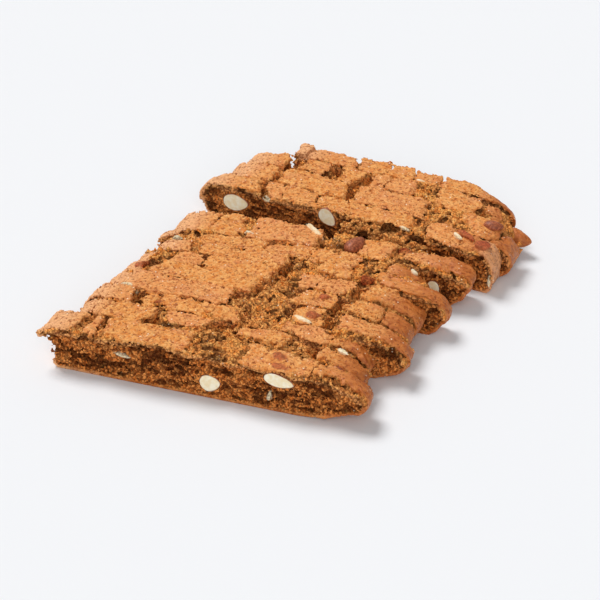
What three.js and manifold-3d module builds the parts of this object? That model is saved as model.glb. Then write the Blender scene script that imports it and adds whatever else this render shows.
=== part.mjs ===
// Crackle-topped almond biscotti loaf, cut across into thirteen slices that still stand in a row.
// Millimetres, +Z up, +Y from the first slice to the last, +X along each slice. The slices rest
// on their flat base at z = 0, and the origin is at the bottom centre of the bounding box.
import * as THREE from 'three';
import { mergeVertices } from 'three/addons/utils/BufferGeometryUtils.js';
import Module from 'manifold-3d';

const wasm = await Module();
wasm.setup();

// ---- driving dimensions -------------------------------------------------------------------
const CRUST_TOP = 24.5;    // height of the crust plates over the base
const ARCH = 1.2;          // fall of the crust from the middle to the shoulders
const CURL = 4.5;          // length of the last curl of the base up to the tip of an end
const CUT_GAP = 0.8;       // clear width of a knife cut between two neighbours
const EDGE_DROP = 0.4;     // rounding of the crust at the cut edges
const CRUMBLE = 1.5;       // further loss where a cut edge has crumbled away
const COLUMN_STEP = 4.0;   // widest spacing of the modelled places along a slice
const CRUMB_DROP = 2.1;    // depth of the open crumb between two plates
const CRACK_SLANT = 3.0;   // sideways run of a crack across one slice
const STATIONS = [0, 0.14, 0.5, 0.86, 1];
const NUT_CLEAR = 0.3;     // clear width round an almond in its pocket

// Ends of a slice: height of the widest point, length over which the crust rolls down to it,
// length over which the base rises to it, and that rise before the last curl.
const LEFT_END = [12, 17, 14, 4];
const RIGHT_END = [12.5, 25, 16, 6];
const BROKEN_END = [12, 3, 1.5, 0];

const CRUST = { color: 0xc07a42, roughness: 0.78, metalness: 0 };
const NUT = { color: 0xefe2bf, roughness: 0.55, metalness: 0 };
const SKIN = { color: 0x9c5232, roughness: 0.6, metalness: 0 };

// Knife cuts in plan, y = offset + slope * x. The first nine slices stand close together, the
// last four have slid back and turned a little.
const FRONT_CUTS = [
  [-83.0, 0.03], [-66.3, -0.011], [-51.0, -0.009], [-39.6, -0.014], [-24.3, -0.015],
  [-10.0, -0.015], [4.6, 0.015], [16.8, 0.03], [30.5, 0.04], [49.0, 0.015],
];
const BACK_CUTS = [[64.5, -0.13], [80.0, -0.12], [97.5, -0.11], [114.5, -0.08], [128.5, -0.085]];

// One row a slice: tips of the slice, its ends where they differ from the usual ones, height
// over the usual crust, the crust plates as [from, to, rise] and the deep cracks as
// [from, to, depth], all along X. A bulge is a bit of crumb or crust that sticks out past a cut
// or an end: its middle as [x, depth behind the front cut, z] and its half length, height and
// thickness.
const SLICES = [
  { tips: [-102, 63], leftEnd: [19, 12, 7.5, 14], rightEnd: [13.5, 28, 32, 7.5], lift: 0.4,
    plates: [[-102, -86, 0.3], [-80.5, -76, 0.2], [-71.5, -25.5, 0.4], [1, 33.5, -0.2], [34.5, 63, 0.5]],
    cracks: [[-86, -81, 3], [-76, -72, 3.4]] },
  { tips: [-96, 56.5], lift: -0.2,
    plates: [[-96, -85, -1], [-84, -54, 0.2], [-48.5, -27.5, -0.2], [-9, 16, 0.2], [32, 56.5, 0]],
    cracks: [[-54, -48.5, 5], [-27.5, -14, 4.5], [16, 31.5, 7]] },
  { tips: [-95.5, 54], lift: 0,
    plates: [[-95.5, -70, 0.1], [-64, -56, -1], [-54.5, -15, 0.2], [10, 33.5, 0.3], [35, 54, 0]],
    cracks: [[-70, -64, 5], [-14, -10, 4]] },
  { tips: [-93, 69], rightEnd: [12.5, 25, 17, 7], lift: 0.2,
    plates: [[-93, -82, -0.8], [-81, -52, 0.8], [-51.4, -24, 0.8], [10, 26, 0], [31.5, 69, 0.6]],
    cracks: [[-24, -13, 4], [4.5, 9, 5], [26, 31.5, 8]] },
  { tips: [-91, 64], lift: 0.2,
    plates: [[-91, -76, -0.5], [-70, -60, 0.6], [-59.4, -17, 0.9], [5, 24.5, 0.2], [30.5, 49.5, 0.5],
      [50.4, 64, 0]],
    cracks: [[-16.5, -7, 5], [24.5, 30.5, 7]] },
  { tips: [-90, 63.5], lift: 0.1,
    plates: [[-90, -80, -1.5], [-67.5, -52, 0.7], [-48.6, -14, 1], [0, 10.3, -0.3], [11.2, 29, 0.4],
      [35, 63.5, 0.9]],
    cracks: [[-52, -48.6, 4.5], [-14, -6, 8], [29.5, 34.5, 5]] },
  { tips: [-84, 74.5], rightEnd: [12, 25, 9.5, 9], lift: 0.2,
    plates: [[-84, -62, 0], [-56, -11, 0.9], [7, 24, 0.2], [37, 74.5, 1]],
    cracks: [[-11, -6, 6]] },
  { tips: [-85, 58], leftEnd: [18, 8, 10, 6], lift: -0.8,
    plates: [[-85, -76, -0.4], [-59, -28, 0], [-26.5, -18.5, -0.8], [-17, -4.5, -0.2], [-3, 24, 0.2],
      [37, 58, 0]],
    cracks: [[-18.5, -17, 3], [-4.5, -3, 3.5]] },
  { tips: [-84, 77.5], rightEnd: [15, 25, 11, 9], lift: -0.6,
    bulge: { at: [24, 17.8, 17], size: [24, 4.5, 5] },
    plates: [[-84, -63, 0], [-62, -47, -0.6], [-41, -4.5, 0.4], [20, 35, -0.5], [45, 77.5, 0.6]],
    cracks: [[-4.5, 1, 7], [35, 44.5, 4]] },
  { tips: [-87, 84.5], leftEnd: [13, 14, 16, 5], rightEnd: [11, 8, 4, 1], lift: 0.6,
    bulge: { at: [22, -0.3, 18], size: [24, 5, 5.5] },
    plates: [[-87, -52.5, 0.8], [-48, -39.5, -0.2], [-38.5, -21.5, 0.3], [-20.5, -1, -0.5], [0, 35, 0.2],
      [45, 61, 0], [62, 84.5, 0.3]],
    cracks: [[-52.5, -48.5, 6], [-21.5, -20.5, 3]] },
  { tips: [-78, 90.5], rightEnd: [11, 22, 12, 5.5], lift: 0.5,
    plates: [[-78, -50, 1.1], [-45.5, -5.5, 0.7], [0.5, 39, 0.5], [61, 79, 0.3], [80, 90.5, -0.5]],
    cracks: [[-50, -46, 8.5], [-5.5, 0, 7]] },
  { tips: [-74, 84], endTaper: 4, lift: 0.4, bulge: { at: [82, 11.5, 8.5], size: [10, 5, 4.9] },
    plates: [[-74, -50, 1.3], [-41, -25, 0.5], [-17, -5.5, 0.2], [2, 9.5, 0], [10.5, 27, 0.4],
      [40, 64, 0.3], [66.5, 75, -0.5]],
    cracks: [[-50, -44, 7.5], [-25, -17.5, 6], [-5.5, 1.5, 6], [64, 66.5, 5]] },
  { tips: [-51, 80], leftEnd: BROKEN_END, endTaper: 16, lift: 0.3,
    plates: [[-51, -41.5, 1.8], [-40, -15, 0.4], [-12, 5.5, 0.3], [6.3, 20, 0.2], [21.5, 36, -0.8],
      [39, 80, 0.5]],
    cracks: [[-15, -12, 3], [36, 39, 4.5]] },
];

// Whole or cut almonds that show. size is half length, half width and half thickness; turn is
// the angle of the length in the cut face; those with a cut are sliced flush with that slice.
const ALMONDS = [
  { name: 'almond_front_round', slice: 1, at: [-13.6, 1.2, 9.2], size: [5.4, 4.6, 4.4], turn: 10, cut: true },
  { name: 'almond_front_long', slice: 1, at: [20.7, 0.8, 18.0], size: [7.6, 3.5, 4.2], turn: -8, cut: true },
  { name: 'almond_second', slice: 2, at: [45.2, 0.7, 18.0], size: [5.0, 2.7, 3.6], turn: -24, cut: true },
  { name: 'almond_ninth_end', slice: 9, at: [59.2, 0.8, 11.0], size: [4.0, 3.1, 3.6], turn: -62, cut: true },
  { name: 'almond_tenth_left', slice: 10, at: [-65.4, 1.2, 14.2], size: [7.9, 4.8, 4.6], turn: 6, cut: true },
  { name: 'almond_tenth_right', slice: 10, at: [-10.2, 0.9, 20.0], size: [5.6, 4.3, 4.4], turn: -40, cut: true },
  { name: 'almond_ninth_top', slice: 9, at: [14.5, 9.2, 22.6], size: [7.6, 4.4, 3.4], turn: 78, cut: false },
  { name: 'almond_eleventh_top', slice: 11, at: [75.0, 12.4, 23.0], size: [5.4, 3.4, 2.8], turn: 20, cut: false },
];

// Bits of almond as small as flakes, fused to the crust: slice, [x, depth behind the front cut,
// z], half length, width and thickness, and turn from above.
const CHIPS = [
  [1, [17.5, 10.6, 23.5], [4.4, 3.0, 1.8], -20],
  [1, [20.5, 3.6, 23.4], [5.2, 2.2, 1.5], -8],
  [2, [42.9, 12.0, 22.7], [3.2, 1.2, 1.2], -20],
  [3, [-55.5, 3.4, 22.9], [2.4, 1.8, 1.4], 20],
  [4, [15.5, 2.9, 23.9], [5.4, 1.3, 1.0], -17],
  [4, [19.0, 8.0, 23.7], [3.6, 2.6, 1.8], 20],
  [5, [18.5, 10.0, 23.8], [2.8, 2.2, 1.6], 30],
  [5, [-79.0, 7.7, 22.4], [4.2, 3.2, 1.4], 60],
  [7, [31.5, 5.0, 22.3], [3.8, 3.0, 2.4], 30],
  [8, [-73.9, 2.2, 20.9], [2.8, 1.1, 1.8], 10],
  [8, [50.0, 11.0, 20.2], [2.6, 1.2, 1.4], -35],
  [9, [-40.2, 3.4, 22.3], [2.8, 1.2, 1.2], -30],
  [9, [-8.8, 14.6, 22.7], [7.8, 1.4, 2.4], -41],
  [9, [40.0, 13.2, 20.6], [4.6, 2.6, 2.4], -35],
  [10, [33.8, 2.0, 24.4], [2.8, 1.1, 1.0], -12],
  [10, [61.4, 8.8, 24.2], [3.4, 1.2, 1.2], -34],
  [10, [65.2, 12.0, 24.0], [5.4, 1.9, 1.4], -29],
  [10, [76.0, 7.5, 23.7], [4.4, 3.4, 1.8], 40],
  [13, [25.5, 2.2, 23.7], [2.4, 1.2, 1.2], -10],
];

// ---- small helpers ------------------------------------------------------------------------
const clamp = (v, lo, hi) => Math.min(hi, Math.max(lo, v));
const mix = (a, b, t) => a + (b - a) * t;
const hash = (n) => {
  const v = Math.sin(n * 12.9898 + 4.1414) * 43758.5453;
  return v - Math.floor(v);
};
const wave = (x, seed) => {
  const i = Math.floor(x);
  const t = x - i;
  return mix(hash(i + seed * 57), hash(i + 1 + seed * 57), t * t * (3 - 2 * t)) * 2 - 1;
};

function cutsOf(k) {
  const cuts = k < 9 ? FRONT_CUTS : BACK_CUTS;
  const i = k < 9 ? k : k - 9;
  const half = CUT_GAP / 2;
  return [[cuts[i][0] + half, cuts[i][1]], [cuts[i + 1][0] - half, cuts[i + 1][1]]];
}

const endsOf = (slice) => [slice.leftEnd ?? LEFT_END, slice.rightEnd ?? RIGHT_END];
const curlOf = ([, , heel]) => Math.min(CURL, heel);

// Heights of the baked surface and of the base at d from the tip of an end.
function profile(end, crown, d) {
  const [tipZ, shoulder, heel, rise] = end;
  const top = mix(tipZ, crown, Math.sqrt(1 - (1 - clamp(d / shoulder, 0, 1)) ** 2.2));
  const curl = 1 - Math.sqrt(1 - (1 - clamp(d / curlOf(end), 0, 1)) ** 2);
  const bottom = rise * (1 - clamp(d / heel, 0, 1)) ** 1.2 + (tipZ - rise) * curl;
  return [top, bottom];
}

// Height of the baked surface before it cracks, and of the base, at x.
function shell(slice, x) {
  const [left, right] = slice.tips;
  const crown = CRUST_TOP + slice.lift - ARCH * ((x - (left + right) / 2) / 55) ** 2;
  const [leftEnd, rightEnd] = endsOf(slice);
  const [topL, bottomL] = profile(leftEnd, crown, x - left);
  const [topR, bottomR] = profile(rightEnd, crown, right - x);
  return { top: Math.min(topL, topR), bottom: Math.max(bottomL, bottomR) };
}

// Rise or drop of the surface from plates, crumb and cracks.
function relief(slice, seed, x, station) {
  const plate = slice.plates.find(([a, b]) => x >= a && x <= b);
  if (plate) {
    return plate[2] + 0.3 * wave(x / 4, seed);
  }
  const crack = slice.cracks.find(([a, b]) => x > a && x < b);
  if (crack) {
    return -crack[2] + 0.8 * wave(x / 2 + station * 3, seed + 3);
  }
  return -CRUMB_DROP + 0.9 * wave(x / 3 + station * 5, seed + 7);
}

// Places along x where the surface is modelled: both ends, both lips of each edge, and between.
function columns(slice) {
  const [left, right] = slice.tips;
  const [shoulderL, shoulderR] = endsOf(slice).map((end) => end[1]);
  const shares = [0, 0.02, 0.08, 0.2, 0.38, 0.62, 0.94];
  const xs = [...shares.map((s) => left + s * shoulderL), ...shares.map((s) => right - s * shoulderR)];
  for (const [a, b] of [...slice.plates, ...slice.cracks]) {
    xs.push(a - 0.45, a + 0.45, b - 0.45, b + 0.45);
  }
  const inside = xs.filter((x) => x >= left && x <= right).sort((a, b) => a - b);
  const out = [inside[0]];
  for (const x of inside.slice(1)) {
    const last = out[out.length - 1];
    const gap = x - last;
    if (gap < 0.33) {
      continue;
    }
    const parts = Math.ceil(gap / COLUMN_STEP);
    for (let i = 1; i <= parts; i += 1) {
      out.push(last + (gap * i) / parts);
    }
  }
  out[out.length - 1] = right;
  return out;
}

// Sideways run of cracks from the front to the back of a slice, and taper of an end slice.
function slant(slice, seed, x, s) {
  const [left, right] = slice.tips;
  const hold = clamp((x - left) / 12, 0, 1) * clamp((right - x) / 12, 0, 1);
  const taper = (slice.endTaper ?? 0) * s * s * clamp((x - 35) / (right - 35), 0, 1);
  return x + CRACK_SLANT * wave(x / 16, seed + 11) * (s - 0.5) * hold - taper;
}

function sliceGeometry(k) {
  const slice = SLICES[k];
  const seed = k + 1;
  const [front, back] = cutsOf(k);
  const [left, right] = slice.tips;
  const xs = columns(slice);
  const [heelL, heelR] = endsOf(slice).map((end) => {
    const curl = curlOf(end);
    return [0.25 * curl, 0.8 * curl, mix(curl, end[2], 0.45), end[2]];
  });
  const under = [
    ...heelR.map((d) => right - d),
    mix(left, right, 0.72), mix(left, right, 0.5), mix(left, right, 0.28),
    ...heelL.reverse().map((d) => left + d),
  ];
  const ring = (s) => {
    const tops = xs.map((x) => {
      const { top, bottom } = shell(slice, x);
      const tip = Math.min((x - left) / 4, (right - x) / 4, 1);
      const crumbled = CRUMBLE * clamp(wave(x / 5 + s * 9, seed + 19), 0, 1);
      const drop = s === 0 || s === 1 ? EDGE_DROP + crumbled : 0;
      const z = top + (relief(slice, seed, x, s) - drop) * clamp(tip, 0, 1);
      return [x, Math.max(z, bottom + 0.001)];
    });
    const bases = under.map((x) => [x, shell(slice, x).bottom]);
    return [...tops, ...bases].map(([x, z]) => {
      const px = slant(slice, seed, x, s);
      return [px, mix(front[0] + front[1] * px, back[0] + back[1] * px, s), z];
    });
  };
  const rings = STATIONS.map(ring);
  const n = rings[0].length;
  const triangles = [];
  for (let j = 0; j + 1 < rings.length; j += 1) {
    for (let i = 0; i < n; i += 1) {
      const a = j * n + i;
      const b = j * n + ((i + 1) % n);
      triangles.push([a, b, b + n], [a, b + n, a + n]);
    }
  }
  const cap = (ringIndex, flip) => {
    const outline = rings[ringIndex].map(([x, , z]) => new THREE.Vector2(x, z));
    for (const [a, b, c] of THREE.ShapeUtils.triangulateShape(outline, [])) {
      const face = [a, b, c].map((i) => ringIndex * n + i);
      triangles.push(flip ? face.reverse() : face);
    }
  };
  cap(0, false);
  cap(rings.length - 1, true);
  const geometry = new THREE.BufferGeometry();
  geometry.setAttribute('position', new THREE.Float32BufferAttribute(rings.flat(2), 3));
  geometry.setIndex(triangles.flat());
  return geometry;
}

// ---- almonds ------------------------------------------------------------------------------
function almondGeometry(size, grow, around = 12, rows = 8) {
  const [length, width, thick] = size.map((v) => v + grow);
  const geometry = new THREE.SphereGeometry(1, around, rows);
  const position = geometry.getAttribute('position');
  for (let i = 0; i < position.count; i += 1) {
    const t = position.getY(i);
    const taper = 1 - 0.22 * t - 0.1 * t * t;
    position.setXYZ(i, t * length, position.getZ(i) * thick * taper, position.getX(i) * width * taper);
  }
  return geometry;
}

function placeAlmond(almond, grow) {
  const geometry = almondGeometry(almond.size, grow);
  const [front] = cutsOf(almond.slice - 1);
  const [x, inward, z] = almond.at;
  const turn = THREE.MathUtils.degToRad(almond.turn);
  if (almond.cut) {
    geometry.rotateY(-turn);
    geometry.rotateZ(Math.atan(front[1]));
  } else {
    geometry.rotateX(Math.PI / 2);
    geometry.rotateZ(turn);
  }
  geometry.translate(x, front[0] + front[1] * x + inward, z);
  return geometry;
}

// ---- solids -------------------------------------------------------------------------------
function toManifold(geometry) {
  const plain = geometry.clone();
  plain.deleteAttribute('normal');
  plain.deleteAttribute('uv');
  const merged = mergeVertices(plain, 1e-4);
  return new wasm.Manifold(new wasm.Mesh({
    numProp: 3,
    vertProperties: new Float32Array(merged.getAttribute('position').array),
    triVerts: new Uint32Array(merged.getIndex().array),
  }));
}

function toMesh(manifold, name, look) {
  const mesh = manifold.getMesh();
  const geometry = new THREE.BufferGeometry();
  geometry.setAttribute('position', new THREE.Float32BufferAttribute(mesh.vertProperties, 3));
  geometry.setIndex(new THREE.Uint32BufferAttribute(mesh.triVerts, 1));
  const faceted = geometry.toNonIndexed();
  faceted.computeVertexNormals();
  const part = new THREE.Mesh(faceted, new THREE.MeshStandardMaterial(look));
  part.name = name;
  return part;
}

// Almond-shaped lump whose length lies along x, with its width upright.
function bulgeGeometry(k) {
  const { at: [x, inward, z], size } = SLICES[k].bulge;
  const [front] = cutsOf(k);
  const geometry = almondGeometry(size, 0, 8, 5);
  geometry.rotateZ(Math.atan(front[1]));
  geometry.translate(x, front[0] + front[1] * x + inward, z);
  return geometry;
}

function chipGeometry([slice, [x, inward, z], size, turn]) {
  const [front] = cutsOf(slice - 1);
  const geometry = almondGeometry(size, 0, 6, 4);
  geometry.rotateX(Math.PI / 2);
  geometry.rotateZ(THREE.MathUtils.degToRad(turn));
  geometry.translate(x, front[0] + front[1] * x + inward, z);
  return geometry;
}

const solids = SLICES.map((slice, k) => {
  const parts = [sliceGeometry(k)];
  if (slice.bulge) {
    parts.push(bulgeGeometry(k));
  }
  parts.push(...CHIPS.filter(([number]) => number === k + 1).map(chipGeometry));
  return wasm.Manifold.union(parts.map(toManifold));
});
const loaf = new THREE.Group();
loaf.name = 'biscotti';
const nuts = [];
for (const almond of ALMONDS) {
  const k = almond.slice - 1;
  const whole = toManifold(placeAlmond(almond, 0));
  const nut = almond.cut ? whole.intersect(solids[k]) : whole;
  solids[k] = solids[k].subtract(toManifold(placeAlmond(almond, NUT_CLEAR)));
  nuts.push(toMesh(nut, almond.name, almond.cut ? NUT : SKIN));
}
solids.forEach((solid, k) => {
  const name = `slice_${String(k + 1).padStart(2, '0')}`;
  loaf.add(toMesh(solid, name, CRUST));
});
nuts.forEach((nut) => loaf.add(nut));

// The bounding box is centred over the origin.
const centre = new THREE.Box3().setFromObject(loaf).getCenter(new THREE.Vector3());
loaf.position.set(-centre.x, -centre.y, 0);

export default loaf;
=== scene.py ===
"""Looks of the crackle-topped almond biscotti: thirteen slices standing in a row.

Each slice is carved as a solid field in millimetres (baked shell, crust plates, cracks, knife
cuts and open crumb), turned into a mesh, and replaces its CAD slice. Almonds are set into it.
Loaf coordinates: x along a slice, y from the first slice to the last, z up from the base.
"""

import collections
import itertools
import math

import bpy
import numpy as np
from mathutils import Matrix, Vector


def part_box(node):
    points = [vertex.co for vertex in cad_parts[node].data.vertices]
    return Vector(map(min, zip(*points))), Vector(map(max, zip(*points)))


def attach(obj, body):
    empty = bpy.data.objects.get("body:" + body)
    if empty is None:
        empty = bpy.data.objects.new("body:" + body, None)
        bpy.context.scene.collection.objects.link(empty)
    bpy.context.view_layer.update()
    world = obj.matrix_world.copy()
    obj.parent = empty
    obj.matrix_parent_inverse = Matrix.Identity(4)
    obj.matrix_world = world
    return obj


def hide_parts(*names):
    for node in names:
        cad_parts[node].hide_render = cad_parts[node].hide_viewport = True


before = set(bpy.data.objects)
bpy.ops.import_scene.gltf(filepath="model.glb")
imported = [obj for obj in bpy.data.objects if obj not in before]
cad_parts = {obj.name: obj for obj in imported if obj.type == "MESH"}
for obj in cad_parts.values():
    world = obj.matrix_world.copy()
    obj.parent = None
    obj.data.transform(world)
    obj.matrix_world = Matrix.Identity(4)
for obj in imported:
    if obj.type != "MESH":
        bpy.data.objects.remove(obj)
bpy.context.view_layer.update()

MM = 0.001

# ---- sizes shared with the solids, in millimetres --------
CRUST_TOP = 24.5  # height of the crust plates over the base
ARCH, ARCH_SPAN = 1.2, 55  # fall of the crust this far from the middle of a slice
CURL = 4.5  # length of the last curl of the base up to a tip
CUT_GAP = 0.8  # clear width of a knife cut between two neighbours
CRUMB_DROP = 2.1  # depth of the open crumb between two plates
CRACK_SLANT = 3.0  # sideways run of a crack across one slice

# Ends of a slice: height of the widest point, length over which the crust rolls down to it,
# length over which the base rises to it, and that rise before the last curl.
LEFT_END = (12, 17, 14, 4)
RIGHT_END = (12.5, 25, 16, 6)
BROKEN_END = (12, 3, 1.5, 0)

# Knife cuts from above, as (y at x = 0, slope): of the first nine slices, which stand close
# together, and of the last four, which have slid back and turned a little.
FRONT_ROWS = 9
FRONT_CUTS = [
    (-83.0, 0.03), (-66.3, -0.011), (-51.0, -0.009), (-39.6, -0.014), (-24.3, -0.015),
    (-10.0, -0.015), (4.6, 0.015), (16.8, 0.03), (30.5, 0.04), (49.0, 0.015),
]
BACK_CUTS = [(64.5, -0.13), (80.0, -0.12), (97.5, -0.11), (114.5, -0.08), (128.5, -0.085)]

# One row a slice: tips, ends where they differ from the usual ones, lift over the usual crust,
# plates and deep cracks (from, to, depth) along x. A plate is (from, to, rise), and where it
# stands back from its cuts (from, to, rise, front, back); PRESSED closes that cut under it.
# Sleek is the length of glossy crust at the right end, end_taper the length that the right end
# loses from its front cut to its back cut.
PRESSED = -9
SLICES = [
    dict(tips=(-102, 63), left=(19, 12, 7.5, 14), right=(13.5, 28, 32, 7.5), lift=0.4, sleek=26,
         plates=[(-102, -86, 0.3), (-80.5, -76, 0.2), (-71.5, -25.5, 0.4), (1, 33.5, -0.2),
                 (34.5, 63, 0.5, 4.0, 0.4)],
         cracks=[(-86, -81, 3), (-76, -72, 3.4)]),
    dict(tips=(-96, 56.5), lift=-0.2,
         plates=[(-96, -85, -1), (-84, -54, 0.2), (-48.5, -27.5, -0.2, 5.0, -2),
                 (-9, 16, 0.2, 5.0, -1), (32, 56.5, 0, 1.8, 0.8)],
         cracks=[(-54, -48.5, 5), (-27.5, -14, 4.5), (16, 31.5, 7)]),
    dict(tips=(-95.5, 54), lift=0.0,
         plates=[(-95.5, -70, 0.1), (-64, -56, -1), (-54.5, -15, 0.2), (10, 33.5, 0.3),
                 (35, 54, 0, 1.4, 1.2)],
         cracks=[(-70, -64, 5), (-14, -10, 4)]),
    dict(tips=(-93, 69), right=(12.5, 25, 17, 7), lift=0.2,
         plates=[(-93, -82, -0.8), (-81, -24, 0.8, -1, -9), (10, 26, 0),
                 (31.5, 69, 0.6, 2.2, 0.8)],
         cracks=[(-24, -13, 4), (4.5, 9, 5), (26, 31.5, 8)]),
    dict(tips=(-91, 64), lift=0.2,
         plates=[(-91, -76, -0.5), (-70, -17, 0.9, -9, -9), (5, 24.5, 0.2),
                 (30.5, 49.5, 0.5, 0.6, 0.2), (50.4, 64, 0, 0.8, 0.2)],
         cracks=[(-16.5, -7, 5), (24.5, 30.5, 7)]),
    dict(tips=(-90, 63.5), lift=0.1,
         plates=[(-90, -80, -1.5), (-67.5, -52, 0.7, -9, 0), (-48.6, -14, 1, -9, -9), (0, 10.3, -0.3),
                 (11.2, 29, 0.4), (35, 63.5, 0.9)],
         cracks=[(-52, -48.6, 4.5), (-14, -6, 8), (29.5, 34.5, 5)]),
    dict(tips=(-84, 74.5), right=(12, 25, 9.5, 9), lift=0.2, sleek=38,
         plates=[(-84, -62, 0), (-56, -11, 0.9, -9, 0), (7, 24, 0.2), (37, 74.5, 1)],
         cracks=[(-11, -6, 6)]),
    dict(tips=(-85, 58), left=(18, 8, 10, 6), lift=-0.8, sleek=20,
         plates=[(-85, -76, -0.4), (-59, -28, 0), (-26.5, -18.5, -0.8), (-17, -4.5, -0.2),
                 (-3, 24, 0.2), (37, 58, 0, 1.6, 0.4)],
         cracks=[(-18.5, -17, 3), (-4.5, -3, 3.5)]),
    dict(tips=(-84, 77.5), right=(15, 25, 11, 9), lift=-0.6, sleek=26,
         plates=[(-84, -63, 0), (-62, -47, -0.6), (-41, -4.5, 0.4), (20, 35, -0.5),
                 (45, 77.5, 0.6, 2.8, 0.8)],
         cracks=[(-4.5, 1, 7), (35, 44.5, 4)]),
    dict(tips=(-87, 84.5), left=(13, 14, 16, 5), right=(11, 8, 4, 1), lift=0.6, sleek=8,
         plates=[(-87, -52.5, 0.8), (-48, -39.5, -0.2), (-38.5, -21.5, 0.3), (-20.5, -1, -0.5),
                 (0, 35, 0.2, 1.2, 0), (45, 61, 0), (62, 84.5, 0.3)],
         cracks=[(-52.5, -48.5, 6), (-21.5, -20.5, 3)]),
    dict(tips=(-78, 90.5), right=(11, 22, 12, 5.5), lift=0.5,
         plates=[(-78, -50, 1.1), (-45.5, -5.5, 0.7), (0.5, 39, 0.5), (61, 79, 0.3),
                 (80, 90.5, -0.5)],
         cracks=[(-50, -46, 8.5), (-5.5, 0, 7)]),
    dict(tips=(-74, 84), end_taper=4, lift=0.4,
         plates=[(-74, -50, 1.3), (-41, -25, 0.5), (-17, -5.5, 0.2), (2, 9.5, 0),
                 (10.5, 27, 0.4), (40, 64, 0.3), (66.5, 75, -0.5)],
         cracks=[(-50, -44, 7.5), (-25, -17.5, 6), (-5.5, 1.5, 6), (64, 66.5, 5)]),
    dict(tips=(-51, 80), left=BROKEN_END, end_taper=16, lift=0.3,
         plates=[(-51, -41.5, 1.8), (-40, -15, 0.4), (-12, 5.5, 0.3), (6.3, 20, 0.2),
                 (21.5, 36, -0.8), (39, 80, 0.5)],
         cracks=[(-15, -12, 3), (36, 39, 4.5)]),
]

# Name, slice, (x, depth behind the front cut, z), (half length, width, thickness), turn, and
# whether it is cut flush with the front face of its slice or lies whole in the crust.
ALMONDS = [
    ("almond_front_round", 1, (-13.6, 1.2, 9.2), (5.4, 4.6, 4.4), 10, True),
    ("almond_front_long", 1, (20.7, 0.8, 18.0), (7.6, 3.5, 4.2), -8, True),
    ("almond_second", 2, (45.2, 0.7, 18.0), (5.0, 2.7, 3.6), -24, True),
    ("almond_ninth_end", 9, (59.2, 0.8, 11.0), (4.0, 3.1, 3.6), -62, True),
    ("almond_tenth_left", 10, (-65.4, 1.2, 14.2), (7.9, 4.8, 4.6), 6, True),
    ("almond_tenth_right", 10, (-10.2, 0.9, 20.0), (5.6, 4.3, 4.4), -40, True),
    ("almond_ninth_top", 9, (14.5, 9.2, 22.6), (7.6, 4.4, 3.4), 78, False),
    ("almond_eleventh_top", 11, (75.0, 12.4, 23.0), (5.4, 3.4, 2.8), 20, False),
]

# Bits that stick out past a cut or an end: slice, middle, half length, height and thickness, and
# whether they are baked crust.
BULGES = [
    (9, (24.0, 17.8, 17.0), (24.0, 4.5, 5.0), False),
    (10, (22.0, -0.3, 18.0), (24.0, 5.0, 5.5), False),
    (12, (82.0, 11.5, 8.5), (10.0, 5.0, 4.9), True),
]

# Bits of almond fused to a slice: slice, (x, depth behind the front cut, z), (half length, width,
# thickness), turn, whether its skin shows.
CHIPS = [
    (1, (17.5, 10.6, 23.5), (4.4, 3.0, 1.8), -20, True),
    (1, (20.5, 3.6, 23.4), (5.2, 2.2, 1.5), -8, True),
    (2, (42.9, 12.0, 22.7), (3.2, 1.2, 1.2), -20, False),
    (3, (-55.5, 3.4, 22.9), (2.4, 1.8, 1.4), 20, True),
    (4, (15.5, 2.9, 23.9), (5.4, 1.3, 1.0), -17, False),
    (4, (19.0, 8.0, 23.7), (3.6, 2.6, 1.8), 20, True),
    (5, (18.5, 10.0, 23.8), (2.8, 2.2, 1.6), 30, True),
    (5, (-79.0, 7.7, 22.4), (4.2, 3.2, 1.4), 60, True),
    (7, (31.5, 5.0, 22.3), (3.8, 3.0, 2.4), 30, True),
    (8, (-73.9, 2.2, 20.9), (2.8, 1.1, 1.8), 10, False),
    (8, (50.0, 11.0, 20.2), (2.6, 1.2, 1.4), -35, False),
    (9, (-40.2, 3.4, 22.3), (2.8, 1.2, 1.2), -30, False),
    (9, (-8.8, 14.6, 22.7), (7.8, 1.4, 2.4), -41, False),
    (9, (40.0, 13.2, 20.6), (4.6, 2.6, 2.4), -35, True),
    (10, (33.8, 2.0, 24.4), (2.8, 1.1, 1.0), -12, False),
    (10, (61.4, 8.8, 24.2), (3.4, 1.2, 1.2), -34, False),
    (10, (65.2, 12.0, 24.0), (5.4, 1.9, 1.4), -29, True),
    (10, (76.0, 7.5, 23.7), (4.4, 3.4, 1.8), 40, True),
    (13, (25.5, 2.2, 23.7), (2.4, 1.2, 1.2), -10, False),
]
# The same, set upright and cut flush with the cut face.
FLUSH_CHIPS = [
    (4, (-76.0, 0.6, 21.6), (5.0, 2.8, 2.6), -14, False),
    (1, (-58.0, 0.9, 14.9), (3.4, 0.8, 1.2), -12, False),
    (1, (16.0, 0.9, 9.0), (2.6, 0.8, 1.2), 78, False),
    (10, (-45.4, 0.9, 21.2), (3.2, 1.6, 1.4), -10, False),
    (10, (82.2, 0.6, 7.4), (2.8, 0.8, 1.0), 88, False),
]

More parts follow.
